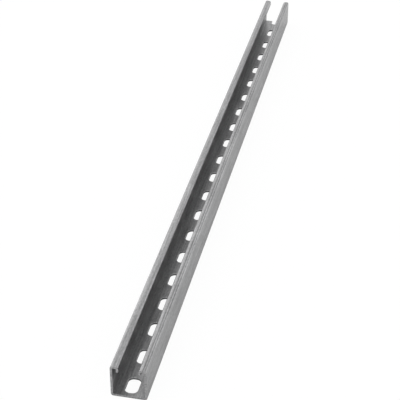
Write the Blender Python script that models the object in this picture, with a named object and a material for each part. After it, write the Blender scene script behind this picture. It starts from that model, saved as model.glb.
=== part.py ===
"""A length of slotted strut channel: one strip of galvanised steel, roll-formed and punched.

The channel lies on its slotted back with the open side up. It runs along Y, and its width is
along X. The end at -Y is cut between two slots, and the end at +Y is cut through one. The
origin is in the middle of the footprint, on the level that the back rests on. Sizes are in
metres.
"""

import math

import bmesh
import bpy

# Section of the rolled channel
width = 0.0413
height = 0.0413
wall = 0.00267
lip_width = 0.00955
lip_depth = 0.0075
inside_bend_radius = 0.00033
inside_curl_radius = 0.00103
edge_radius = 0.0005

# The cut length and the slots punched along the back
length = 1.0195
slot_width = 0.0146
slot_length = 0.0245
slot_corner_radius = 0.0060
slot_pitch = 0.0500
first_slot_from_end = 0.0178

# Facets of the curves
corner_steps = 8
edge_steps = 3
slot_corner_steps = 6
cutter_overshoot = 0.004

zinc_color = (0.42, 0.42, 0.43, 1.0)
zinc_roughness = 0.42


def clear_scene():
    for old in list(bpy.data.objects):
        bpy.data.objects.remove(old, do_unlink=True)


def galvanised_steel():
    """Zinc-coated steel in a plain mid grey."""
    material = bpy.data.materials.new("galvanised_steel")
    material.use_nodes = True
    surface = material.node_tree.nodes["Principled BSDF"]
    surface.inputs["Base Color"].default_value = zinc_color
    surface.inputs["Metallic"].default_value = 0.9
    surface.inputs["Roughness"].default_value = zinc_roughness
    return material


def arc_points(centre, radius, start_degrees, end_degrees, steps):
    """Points from one angle to the other round a centre, both ends included."""
    points = []
    for step in range(steps + 1):
        angle = math.radians(start_degrees + (end_degrees - start_degrees) * step / steps)
        points.append((centre[0] + radius * math.cos(angle), centre[1] + radius * math.sin(angle)))
    return points


def half_section():
    """The right half of the section, as (x, z) points, anticlockwise from the middle of the back.

    It runs along the outside of the back, up the side, over the lip and down its curl, round
    the rolled edge of the strip, and back along the inside to the middle of the back.
    """
    side = width / 2
    mouth = side - lip_width
    outside_bend_radius = inside_bend_radius + wall
    outside_curl_radius = inside_curl_radius + wall
    lip_end = height - lip_depth

    back_bend = (side - outside_bend_radius, outside_bend_radius)
    top_bend = (side - outside_bend_radius, height - outside_bend_radius)
    curl_bend = (mouth + outside_curl_radius, height - outside_curl_radius)

    points = [(0.0, 0.0)]
    points += arc_points(back_bend, outside_bend_radius, -90, 0, corner_steps)
    points += arc_points(top_bend, outside_bend_radius, 0, 90, corner_steps)
    points += arc_points(curl_bend, outside_curl_radius, 90, 180, corner_steps)
    points += arc_points((mouth + edge_radius, lip_end + edge_radius), edge_radius, 180, 270, edge_steps)
    points += arc_points((mouth + wall - edge_radius, lip_end + edge_radius), edge_radius, 270, 360, edge_steps)
    points += arc_points(curl_bend, inside_curl_radius, 180, 90, corner_steps)
    points += arc_points(top_bend, inside_bend_radius, 90, 0, corner_steps)
    points += arc_points(back_bend, inside_bend_radius, 0, -90, corner_steps)
    points.append((0.0, wall))
    return points


def whole_section():
    """The closed section: the right half, then its mirror image back to the start."""
    right = half_section()
    left = [(-x, z) for x, z in reversed(right[1:-1])]
    return right + left


def slot_centres():
    """Y of each slot that the cut length still holds, whole or in part."""
    near_end = -length / 2
    centres = []
    centre = near_end + first_slot_from_end
    while centre - slot_length / 2 < length / 2:
        centres.append(centre)
        centre += slot_pitch
    return centres


def extrude_outline(name, outline, depth_vector):
    """A closed prism: the outline as one face, extruded along a vector."""
    mesh = bpy.data.meshes.new(name)
    shape = bmesh.new()
    face = shape.faces.new([shape.verts.new(point) for point in outline])
    grown = bmesh.ops.extrude_face_region(shape, geom=[face])
    moved = [item for item in grown["geom"] if isinstance(item, bmesh.types.BMVert)]
    bmesh.ops.translate(shape, vec=depth_vector, verts=moved)
    bmesh.ops.recalc_face_normals(shape, faces=shape.faces)
    shape.to_mesh(mesh)
    shape.free()
    return mesh


def slot_outline(centre_y, z):
    """A slot with well rounded corners, its long way along Y."""
    radius = min(slot_corner_radius, 0.49 * slot_width)
    across = slot_width / 2 - radius
    along = slot_length / 2 - radius
    outline = arc_points((across, centre_y + along), radius, 0, 90, slot_corner_steps)
    outline += arc_points((-across, centre_y + along), radius, 90, 180, slot_corner_steps)
    outline += arc_points((-across, centre_y - along), radius, 180, 270, slot_corner_steps)
    outline += arc_points((across, centre_y - along), radius, 270, 360, slot_corner_steps)
    return [(x, y, z) for x, y in outline]


def slot_punches():
    """The punches of all the slots in one cutter, longer than the wall is thick."""
    mesh = bpy.data.meshes.new("slot_punches")
    shape = bmesh.new()
    depth = wall + 2 * cutter_overshoot
    for centre in slot_centres():
        punch = extrude_outline("punch", slot_outline(centre, -cutter_overshoot), (0, 0, depth))
        shape.from_mesh(punch)
        bpy.data.meshes.remove(punch)
    shape.to_mesh(mesh)
    shape.free()
    cutter = bpy.data.objects.new("slot_punches", mesh)
    cutter.hide_render = True
    cutter.display_type = "WIRE"
    bpy.context.scene.collection.objects.link(cutter)
    return cutter


def strut_channel():
    """The rolled channel, with its slots punched through the back."""
    near_end = -length / 2
    outline = [(x, near_end, z) for x, z in whole_section()]
    mesh = extrude_outline("strut_channel", outline, (0, length, 0))
    mesh.materials.append(galvanised_steel())
    channel = bpy.data.objects.new("strut_channel", mesh)
    bpy.context.scene.collection.objects.link(channel)

    punching = channel.modifiers.new("punched slots", "BOOLEAN")
    punching.operation = "DIFFERENCE"
    punching.solver = "EXACT"
    punching.object = slot_punches()

    mesh.shade_smooth()
    mesh.set_sharp_from_angle(angle=math.radians(30))
    return channel


clear_scene()
strut_channel()
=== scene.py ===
import math
import bpy
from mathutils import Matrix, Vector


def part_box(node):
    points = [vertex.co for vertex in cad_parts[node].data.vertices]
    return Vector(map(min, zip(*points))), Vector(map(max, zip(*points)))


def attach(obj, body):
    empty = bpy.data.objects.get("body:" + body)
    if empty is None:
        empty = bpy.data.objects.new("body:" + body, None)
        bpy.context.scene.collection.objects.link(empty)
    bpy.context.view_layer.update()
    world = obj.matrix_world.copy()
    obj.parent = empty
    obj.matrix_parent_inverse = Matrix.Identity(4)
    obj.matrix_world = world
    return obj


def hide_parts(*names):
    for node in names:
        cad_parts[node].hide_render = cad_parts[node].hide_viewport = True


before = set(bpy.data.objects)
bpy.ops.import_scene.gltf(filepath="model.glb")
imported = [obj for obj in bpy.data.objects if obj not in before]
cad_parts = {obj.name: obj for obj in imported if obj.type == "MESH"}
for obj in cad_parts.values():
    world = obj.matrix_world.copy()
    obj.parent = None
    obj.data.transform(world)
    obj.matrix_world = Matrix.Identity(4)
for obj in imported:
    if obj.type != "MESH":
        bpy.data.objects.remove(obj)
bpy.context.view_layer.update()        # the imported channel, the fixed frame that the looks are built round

low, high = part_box("strut_channel")


def plugIn(tree, node, wires):
    # Another node's output is linked, and a plain value is set on the socket itself
    for key, value in wires.items():
        if isinstance(value, bpy.types.NodeSocket):
            tree.links.new(value, node.inputs[key])
        else:
            node.inputs[key].default_value = value
    return node


def addNode(tree, kind, wires=None, **settings):
    made = tree.nodes.new(kind)
    for name, value in settings.items():
        setattr(made, name, value)
    return plugIn(tree, made, wires or {})


def calc(tree, operation, first, second=0.0):
    return addNode(tree, "ShaderNodeMath", {0: first, 1: second}, operation=operation).outputs[0]


def half(tree, value):
    return calc(tree, "MULTIPLY", value, 0.5)


def point(tree, x=0.0, y=0.0, z=0.0):
    return addNode(tree, "ShaderNodeCombineXYZ", {0: x, 1: y, 2: z}).outputs[0]


def splitPoint(tree, place):
    return addNode(tree, "ShaderNodeSeparateXYZ", {0: place}).outputs


def pickByIndex(tree, index, values):
    switch = addNode(tree, "GeometryNodeIndexSwitch", data_type="FLOAT")
    while len(switch.index_switch_items) < len(values):
        switch.index_switch_items.new()
    choices = {str(place): value for place, value in enumerate(values)}
    return plugIn(tree, switch, {"Index": index, **choices}).outputs[0]


# The channel, in metres. Its width, height and length come from the frame, and its slots are
# counted from the near end.
strutChannel = {
    "Wall": 0.00267,
    "Lip Width": 0.00955,
    "Lip Depth": 0.0075,
    "Inside Bend Radius": 0.00033,
    "Inside Curl Radius": 0.00103,
    "Strip Edge Radius": 0.0005,
    "Bend Steps": 12,
    "Slot Width": 0.0146,
    "Slot Length": 0.0245,
    "Slot Corner": 0.0060,
    "Slot Steps": 10,
    "Slot Pitch": 0.0500,
    "First Slot": 0.0178,          # from the end to the slot's middle
    "Rim Radius": 0.0006,          # rounds the slots' rims, on both faces of the back
    "Rim Steps": 3,
    "Other Edge Share": 0.35,      # of the rim radius, at the two cut ends
}
mergeDistance = 1e-6
sharpFrom = math.radians(40)


def prism(tree, outline, depth):
    # A flat outline filled, and pulled up by the depth to a closed solid
    face = addNode(tree, "GeometryNodeFillCurve", {"Curve": outline}, mode="NGONS").outputs[0]
    grown = addNode(tree, "GeometryNodeExtrudeMesh",
                    {"Mesh": face, "Offset": point(tree, z=depth), "Offset Scale": 1.0,
                     "Individual": False})
    under = addNode(tree, "GeometryNodeFlipFaces", {"Mesh": face})
    both = addNode(tree, "GeometryNodeJoinGeometry")
    tree.links.new(under.outputs[0], both.inputs[0])
    tree.links.new(grown.outputs[0], both.inputs[0])
    closed = addNode(tree, "GeometryNodeMergeByDistance",
                     {"Geometry": both.outputs[0], "Distance": mergeDistance})
    return closed.outputs[0]


def sectionOutline(tree, size):
    # Right half: outer corners 0 and 1, curl 2, strip edge 3 and 4, then the inside 5, 6 and 7
    halfWidth = half(tree, size["Width"])
    halfMouth = calc(tree, "SUBTRACT", halfWidth, size["Lip Width"])
    innerSide = calc(tree, "SUBTRACT", halfWidth, size["Wall"])
    innerLip = calc(tree, "ADD", halfMouth, size["Wall"])
    innerTop = calc(tree, "SUBTRACT", size["Height"], size["Wall"])
    lipEnd = calc(tree, "SUBTRACT", size["Height"], size["Lip Depth"])
    across = [halfWidth, halfWidth, halfMouth, halfMouth, innerLip, innerLip, innerSide, innerSide]
    up = [0.0, size["Height"], size["Height"], lipEnd, lipEnd, innerTop, innerTop, size["Wall"]]
    innerBend = size["Inside Bend Radius"]
    outerBend = calc(tree, "ADD", innerBend, size["Wall"])
    innerCurl = size["Inside Curl Radius"]
    outerCurl = calc(tree, "ADD", innerCurl, size["Wall"])
    stripEdge = size["Strip Edge Radius"]
    bends = [outerBend, outerBend, outerCurl, stripEdge, stripEdge, innerCurl, innerBend, innerBend]

    # The left half takes the same corners in reverse, with x turned over
    corners = 2 * len(across)
    index = addNode(tree, "GeometryNodeInputIndex").outputs[0]
    mirrored = calc(tree, "SUBTRACT", float(corners - 1), index)
    corner = calc(tree, "MINIMUM", index, mirrored)
    side = calc(tree, "SIGN", calc(tree, "SUBTRACT", mirrored, index))
    x = calc(tree, "MULTIPLY", pickByIndex(tree, corner, across), side)
    place = point(tree, x, pickByIndex(tree, corner, up))

    line = addNode(tree, "GeometryNodeMeshLine", {"Count": corners})
    thread = addNode(tree, "GeometryNodeMeshToCurve", {"Mesh": line.outputs[0]})
    loop = addNode(tree, "GeometryNodeSetSplineCyclic",
                   {"Geometry": thread.outputs[0], "Cyclic": True})
    sharp = addNode(tree, "GeometryNodeSetPosition",
                    {"Geometry": loop.outputs[0], "Position": place})
    rolled = addNode(tree, "GeometryNodeFilletCurve",
                     {"Curve": sharp.outputs[0], "Count": size["Bend Steps"],
                      "Radius": pickByIndex(tree, corner, bends)}, mode="POLY")
    return rolled.outputs[0]


def slotPunches(tree, size):
    # One punch with rounded corners, stood in a row down the back. It is three walls deep and
    # starts one wall under the back, so that it clears both faces.
    flat = addNode(tree, "GeometryNodeCurvePrimitiveQuadrilateral",
                   {"Width": size["Slot Width"], "Height": size["Slot Length"]})
    rounded = addNode(tree, "GeometryNodeFilletCurve",
                      {"Curve": flat.outputs[0], "Count": size["Slot Steps"],
                       "Radius": size["Slot Corner"], "Limit Radius": True}, mode="POLY")
    punch = prism(tree, rounded.outputs[0], calc(tree, "MULTIPLY", size["Wall"], 3.0))
    firstY = calc(tree, "SUBTRACT", size["First Slot"], half(tree, size["Length"]))
    under = calc(tree, "MULTIPLY", size["Wall"], -1.0)
    row = addNode(tree, "GeometryNodeMeshLine",
                  {"Count": size["Slot Count"], "Start Location": point(tree, y=firstY, z=under),
                   "Offset": point(tree, y=size["Slot Pitch"])})
    copies = addNode(tree, "GeometryNodeInstanceOnPoints",
                     {"Points": row.outputs[0], "Instance": punch})
    real = addNode(tree, "GeometryNodeRealizeInstances", {"Geometry": copies.outputs[0]})
    return real.outputs[0]


def easeWeights(tree, mesh, size):
    # Bevel weights for the sharp edges: 1 on the slots' rims, which are all of them that lie
    # between the two cut ends, and a share of it at the ends
    angle = addNode(tree, "GeometryNodeInputMeshEdgeAngle").outputs["Unsigned Angle"]
    sharp = calc(tree, "GREATER_THAN", angle, sharpFrom)
    where = splitPoint(tree, addNode(tree, "GeometryNodeInputPosition").outputs[0])
    endStart = calc(tree, "SUBTRACT", half(tree, size["Length"]), size["Rim Radius"])
    betweenEnds = calc(tree, "LESS_THAN", calc(tree, "ABSOLUTE", where[1]), endStart)
    weight = calc(tree, "MAXIMUM", betweenEnds, size["Other Edge Share"])
    weighted = addNode(tree, "GeometryNodeStoreNamedAttribute",
                       {"Geometry": mesh, "Name": "bevel_weight_edge",
                        "Value": calc(tree, "MULTIPLY", weight, sharp)},
                       data_type="FLOAT", domain="EDGE")
    return weighted.outputs[0]


def channelTree(sizes, material):
    tree = bpy.data.node_groups.new("rolledAndPunched", "GeometryNodeTree")
    for label, value in sizes.items():
        kind = "NodeSocketInt" if isinstance(value, int) else "NodeSocketFloat"
        tree.interface.new_socket(name=label, in_out="INPUT", socket_type=kind)
    tree.interface.new_socket(name="Geometry", in_out="OUTPUT", socket_type="NodeSocketGeometry")
    size = addNode(tree, "NodeGroupInput").outputs

    bar = prism(tree, sectionOutline(tree, size), size["Length"])
    laid = addNode(tree, "GeometryNodeTransform",
                   {"Geometry": bar, "Translation": point(tree, y=half(tree, size["Length"])),
                    "Rotation": (math.radians(90), 0.0, 0.0)})
    punched = addNode(tree, "GeometryNodeMeshBoolean",
                      {"Mesh 1": laid.outputs[0], "Mesh 2": slotPunches(tree, size)},
                      operation="DIFFERENCE", solver="EXACT")
    weighted = easeWeights(tree, punched.outputs[0], size)
    real = addNode(tree, "GeometryNodeRealizeInstances", {"Geometry": weighted})
    coated = addNode(tree, "GeometryNodeSetMaterial",
                     {"Geometry": real.outputs[0], "Material": material})
    addNode(tree, "NodeGroupOutput", {0: coated.outputs[0]})
    return tree


# The coating: a matt grey with a short grain, lines drawn along the bar and a faint cloudiness.
# The walls that the punch sheared carry painted shade, and the slots' rims inside a painted highlight.
zinc = {
    "colour": (0.288, 0.288, 0.2915),
    "metallic": 1.0,
    "roughness": 0.42,
    # Each pattern's size, how much longer it is along the bar, its swing about 1 and its detail
    "grain": (0.0016, 3.0, 0.20, 1.0),
    "lines": (0.0024, 24.0, 0.30, 3.0),
    "bands": (0.007, 24.0, 0.08, 2.0),
    "clouds": (0.035, 2.0, 0.06, 2.0),
    "sheenPatches": (0.035, 1.0, 0.10, 5.0),
    "patternRoughness": 0.6,
    "patternShift": (0.743, -0.581, -0.569),
    "lineDepth": 0.00004,
    # Painted shade on the slots' walls, as a factor on the colour
    "paintedWallShade": 0.55,
    # Painted highlight on the slots' rims inside, and how far it fades out
    "paintedRimHighlight": 1.6,
    "rimWidth": 0.0016,
    # Marks along the bar: the sheens are painted highlights, the left corner's is painted shade, and the
    # right lip and side carry darker lines with a brighter one between.
    # Each gives its side (1 is right), how far in from that side, how far under the top, how far it fades
    # out, and how much darker, or brighter below 0
    "sheensShadeAndLines": {
        # The sheens are painted highlights
        "rightCurlSheen": (1, 0.00595, 0.0, 0.0020, -0.16),
        "rightLipInner": (1, 0.00425, 0.0, 0.0014, 0.36),
        "rightLipMiddle": (1, 0.00285, 0.0, 0.0014, -0.22),
        "rightLipOuter": (1, 0.00155, 0.0, 0.0014, 0.36),
        "rightCornerSheen": (1, 0.00015, 0.0008, 0.0024, -0.10),
        "rightSide": (1, -0.00005, 0.0103, 0.0070, 0.08),
        # Painted shade at the left corner
        "leftCornerShade": (-1, 0.00065, 0.0005, 0.0018, 0.22),
        "leftLipSheen": (-1, 0.00315, 0.0, 0.0020, -0.18),
    },
}
noiseLow, noiseHigh = 0.25, 0.75        # nearly all of a noise texture lies between


def shade(tree, place, pattern):
    size, stretch, swing, detail = zinc[pattern]
    scaled = addNode(tree, "ShaderNodeMapping",
                     {"Vector": place, "Location": zinc["patternShift"],
                      "Scale": (1.0, 1.0 / stretch, 1.0)})
    noise = addNode(tree, "ShaderNodeTexNoise",
                    {"Vector": scaled.outputs[0], "Scale": 1.0 / size, "Detail": detail,
                     "Roughness": zinc["patternRoughness"]})
    aboutOne = addNode(tree, "ShaderNodeMapRange",
                       {"Value": noise.outputs[0], "From Min": noiseLow, "From Max": noiseHigh,
                        "To Min": 1.0 - swing, "To Max": 1.0 + swing}, clamp=False)
    return aboutOne.outputs[0]


def slotDistance(tree, where):
    # How far a point is outside the nearest slot, seen from above
    corner = strutChannel["Slot Corner"]
    fromFirst = calc(tree, "SUBTRACT", where[1], low[1] + strutChannel["First Slot"])
    across = calc(tree, "ABSOLUTE", where[0])
    along = calc(tree, "PINGPONG", fromFirst, strutChannel["Slot Pitch"] / 2)
    pastSide = calc(tree, "SUBTRACT", across, strutChannel["Slot Width"] / 2 - corner)
    pastEnd = calc(tree, "SUBTRACT", along, strutChannel["Slot Length"] / 2 - corner)
    past = point(tree, calc(tree, "MAXIMUM", pastSide, 0.0), calc(tree, "MAXIMUM", pastEnd, 0.0))
    reach = addNode(tree, "ShaderNodeVectorMath", {0: past}, operation="LENGTH")
    return calc(tree, "SUBTRACT", reach.outputs["Value"], corner)


def punchedTone(tree, place):
    # Painted shade on the sheared walls of the slots, a painted highlight on their rims inside, 1 elsewhere
    rim = strutChannel["Rim Radius"]
    rimStart = low[2] + strutChannel["Wall"] - rim / 2        # half way up the rounding
    footEnd = low[2] + rim / 6        # just clear of the face that the channel lies on
    where = splitPoint(tree, place)
    distance = slotDistance(tree, where)
    overRim = calc(tree, "GREATER_THAN", where[2], rimStart)
    overFoot = calc(tree, "GREATER_THAN", where[2], footEnd)
    inWall = calc(tree, "MULTIPLY", overFoot, calc(tree, "SUBTRACT", 1.0, overRim))
    close = calc(tree, "LESS_THAN", distance, rim)
    offEnds = calc(tree, "LESS_THAN", calc(tree, "ABSOLUTE", where[1]), high[1] - rim)
    # The slots' walls, where the painted shade goes
    shadedWalls = calc(tree, "MULTIPLY", calc(tree, "MULTIPLY", close, offEnds), inWall)
    fade = addNode(tree, "ShaderNodeMapRange",
                   {"Value": distance, "From Max": zinc["rimWidth"],
                    "To Min": zinc["paintedRimHighlight"] - 1.0, "To Max": 0.0},
                   interpolation_type="SMOOTHSTEP")
    # Painted highlight on the rims
    brighter = calc(tree, "MULTIPLY", fade.outputs[0], overRim)
    darker = calc(tree, "MULTIPLY", shadedWalls, zinc["paintedWallShade"] - 1.0)
    return calc(tree, "ADD", calc(tree, "ADD", brighter, darker), 1.0)


def markedTone(tree, place):
    # 1 away from the marks along the bar, fading to each mark's own tone along its middle: painted sheens,
    # painted shade at the left corner, and darker and brighter lines
    where = splitPoint(tree, place)
    section = point(tree, where[0], 0.0, where[2])
    tone = 1.0
    for side, inward, under, reach, darker in zinc["sheensShadeAndLines"].values():
        middle = (side * (high[0] - inward), 0.0, high[2] - under)
        away = addNode(tree, "ShaderNodeVectorMath", {0: section, 1: middle}, operation="DISTANCE")
        mark = addNode(tree, "ShaderNodeMapRange",
                       {"Value": away.outputs["Value"], "From Max": reach,
                        "To Min": 1.0 - darker}, interpolation_type="SMOOTHSTEP")
        tone = calc(tree, "MULTIPLY", mark.outputs[0], tone)
    return tone


def galvanisedSteel():
    material = bpy.data.materials.new("galvanised_steel")
    material.use_nodes = True
    tree = material.node_tree
    surface = tree.nodes["Principled BSDF"]
    place = addNode(tree, "ShaderNodeTexCoord").outputs["Object"]

    lines = shade(tree, place, "lines")
    tone = lines
    for pattern in ("grain", "bands", "clouds"):
        tone = calc(tree, "MULTIPLY", tone, shade(tree, place, pattern))
    # Painted sheens and shade along the lips, and darker lines
    tone = calc(tree, "MULTIPLY", tone, markedTone(tree, place))
    # Painted shade on the slots' walls and a painted highlight on their rims
    tone = calc(tree, "MULTIPLY", tone, punchedTone(tree, place))
    shaded = [calc(tree, "MULTIPLY", tone, level) for level in zinc["colour"]]
    colour = addNode(tree, "ShaderNodeCombineColor", dict(enumerate(shaded)))
    roughness = calc(tree, "MULTIPLY", shade(tree, place, "sheenPatches"), zinc["roughness"])
    relief = addNode(tree, "ShaderNodeBump",
                     {"Height": lines, "Distance": zinc["lineDepth"], "Strength": 1.0})
    plugIn(tree, surface, {"Base Color": colour.outputs[0], "Roughness": roughness,
                           "Normal": relief.outputs[0], "Metallic": zinc["metallic"]})
    print("coating mixed:", len(tree.nodes), "nodes")
    return material


def rollChannel():
    sizes = dict(strutChannel)
    rimSteps = sizes.pop("Rim Steps")        # the bevel's, not the tree's
    sizes["Width"] = high[0] - low[0]
    sizes["Height"] = high[2] - low[2]
    sizes["Length"] = high[1] - low[1]
    # Every slot that the length still holds, whole or in part
    reach = sizes["Length"] - sizes["First Slot"] + sizes["Slot Length"] / 2
    sizes["Slot Count"] = int(reach / sizes["Slot Pitch"]) + 1

    tree = channelTree(sizes, galvanisedSteel())
    channel = bpy.data.objects.new("rolled_channel", bpy.data.meshes.new("rolled_channel"))
    bpy.context.scene.collection.objects.link(channel)
    rolling = channel.modifiers.new("rolled and punched", "NODES")
    rolling.node_group = tree
    for socket in tree.interface.items_tree:
        if socket.in_out == "INPUT":
            rolling[socket.identifier] = sizes[socket.name]
    easing = channel.modifiers.new("eased edges", "BEVEL")
    easing.limit_method = "WEIGHT"
    easing.width = sizes["Rim Radius"]
    easing.segments = rimSteps
    easing.use_clamp_overlap = False
    flats = channel.modifiers.new("true flats", "WEIGHTED_NORMAL")
    flats.keep_sharp = True

    graph = bpy.context.evaluated_depsgraph_get()
    finished = bpy.data.meshes.new_from_object(channel.evaluated_get(graph), depsgraph=graph)
    channel.modifiers.clear()
    channel.data = finished
    finished.name = "rolled_channel"
    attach(channel, "root")
    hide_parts("strut_channel")
    print("channel rolled and punched:", len(finished.polygons), "faces")


whiteFloor = {
    "size": 8.0,
    "drop": 0.0003,        # under the channel's foot
    "colour": (0.95, 0.95, 0.95, 1.0),
    "glowForCamera": 0.95,
    "glowInMetal": 0.15,
}


def layFloor():
    reach = whiteFloor["size"] / 2
    level = low[2] - whiteFloor["drop"]
    mesh = bpy.data.meshes.new("floor")
    corners = [(-reach, -reach, level), (reach, -reach, level),
               (reach, reach, level), (-reach, reach, level)]
    mesh.from_pydata(corners, [], [(0, 1, 2, 3)])
    floor = bpy.data.objects.new("floor", mesh)
    bpy.context.scene.collection.objects.link(floor)

    # A white glow over plain white: strong to the camera, weak in the metal, and never all of
    # it, so that the shadow stays
    material = bpy.data.materials.new("white_floor")
    material.use_nodes = True
    tree = material.node_tree
    tree.nodes.clear()
    ray = addNode(tree, "ShaderNodeLightPath").outputs
    mirrored = calc(tree, "MAXIMUM", ray["Is Glossy Ray"], ray["Is Transmission Ray"])
    inMetal = calc(tree, "MULTIPLY", mirrored, whiteFloor["glowInMetal"])
    forCamera = calc(tree, "MULTIPLY", ray["Is Camera Ray"], whiteFloor["glowForCamera"])
    plain = addNode(tree, "ShaderNodeBsdfDiffuse", {"Color": whiteFloor["colour"]})
    glow = addNode(tree, "ShaderNodeEmission", {"Strength": 1.0})
    mixed = addNode(tree, "ShaderNodeMixShader",
                    {0: calc(tree, "MAXIMUM", forCamera, inMetal), 1: plain.outputs[0],
                     2: glow.outputs[0]})
    addNode(tree, "ShaderNodeOutputMaterial", {"Surface": mixed.outputs[0]})
    mesh.materials.append(material)
    print("floor laid")


# A white tent, as bright in the metal as to the camera, with big weak lamps behind its cloth.
# Each lamp has its way round from +X and its height over the floor, in degrees, and its level.
whiteTent = {
    "colour": (1.0, 1.0, 1.0, 1.0),
    "level": 1.0,
    "lampWidth": 35.0,
    "lamps": {
        "high_left": (180.0, 62.0, 0.26),
        "high_back": (90.0, 62.0, 0.06),
        "back": (90.0, 35.0, 0.09),
        "low_back_left": (135.0, 12.0, 0.465),
        "low_back_right": (45.0, 12.0, 0.21),
    },
}


def lightTent():
    world = bpy.data.worlds.new("white_tent")
    world.use_nodes = True
    tree = world.node_tree
    tree.nodes.clear()
    cloth = addNode(tree, "ShaderNodeBackground",
                    {"Color": whiteTent["colour"], "Strength": whiteTent["level"]})
    addNode(tree, "ShaderNodeOutputWorld", {"Surface": cloth.outputs[0]})
    bpy.context.scene.world = world

    for name, (around, up, level) in whiteTent["lamps"].items():
        lamp = bpy.data.lights.new(name, "SUN")
        lamp.energy = level
        lamp.angle = math.radians(whiteTent["lampWidth"])
        holder = bpy.data.objects.new(name, lamp)
        holder.rotation_euler = (0.0, math.radians(90.0 - up), math.radians(around))
        bpy.context.scene.collection.objects.link(holder)
    bpy.context.scene.view_settings.view_transform = "Standard"
    print("tent lit:", len(whiteTent["lamps"]), "lamps")


# Measured from the middle of the near end's foot: metres, degrees, and the lens in millimetres
photoCamera = {
    "place": (0.2765, -0.9214, 0.8728),
    "tilt": 57.312,
    "roll": -0.150,
    "turn": 12.215,
    "lens": 105.20,
    "sensor": 36.0,
}


def placeCamera():
    lens = bpy.data.cameras.new("photo_camera")
    lens.sensor_width = photoCamera["sensor"]
    lens.lens = photoCamera["lens"]
    camera = bpy.data.objects.new("photo_camera", lens)
    x, y, z = photoCamera["place"]
    camera.location = (x, low[1] + y, low[2] + z)
    turns = (photoCamera["tilt"], photoCamera["roll"], photoCamera["turn"])
    camera.rotation_euler = [math.radians(turn) for turn in turns]
    bpy.context.scene.collection.objects.link(camera)
    bpy.context.scene.camera = camera
    print("camera placed")


rollChannel()
layFloor()
lightTent()
placeCamera()
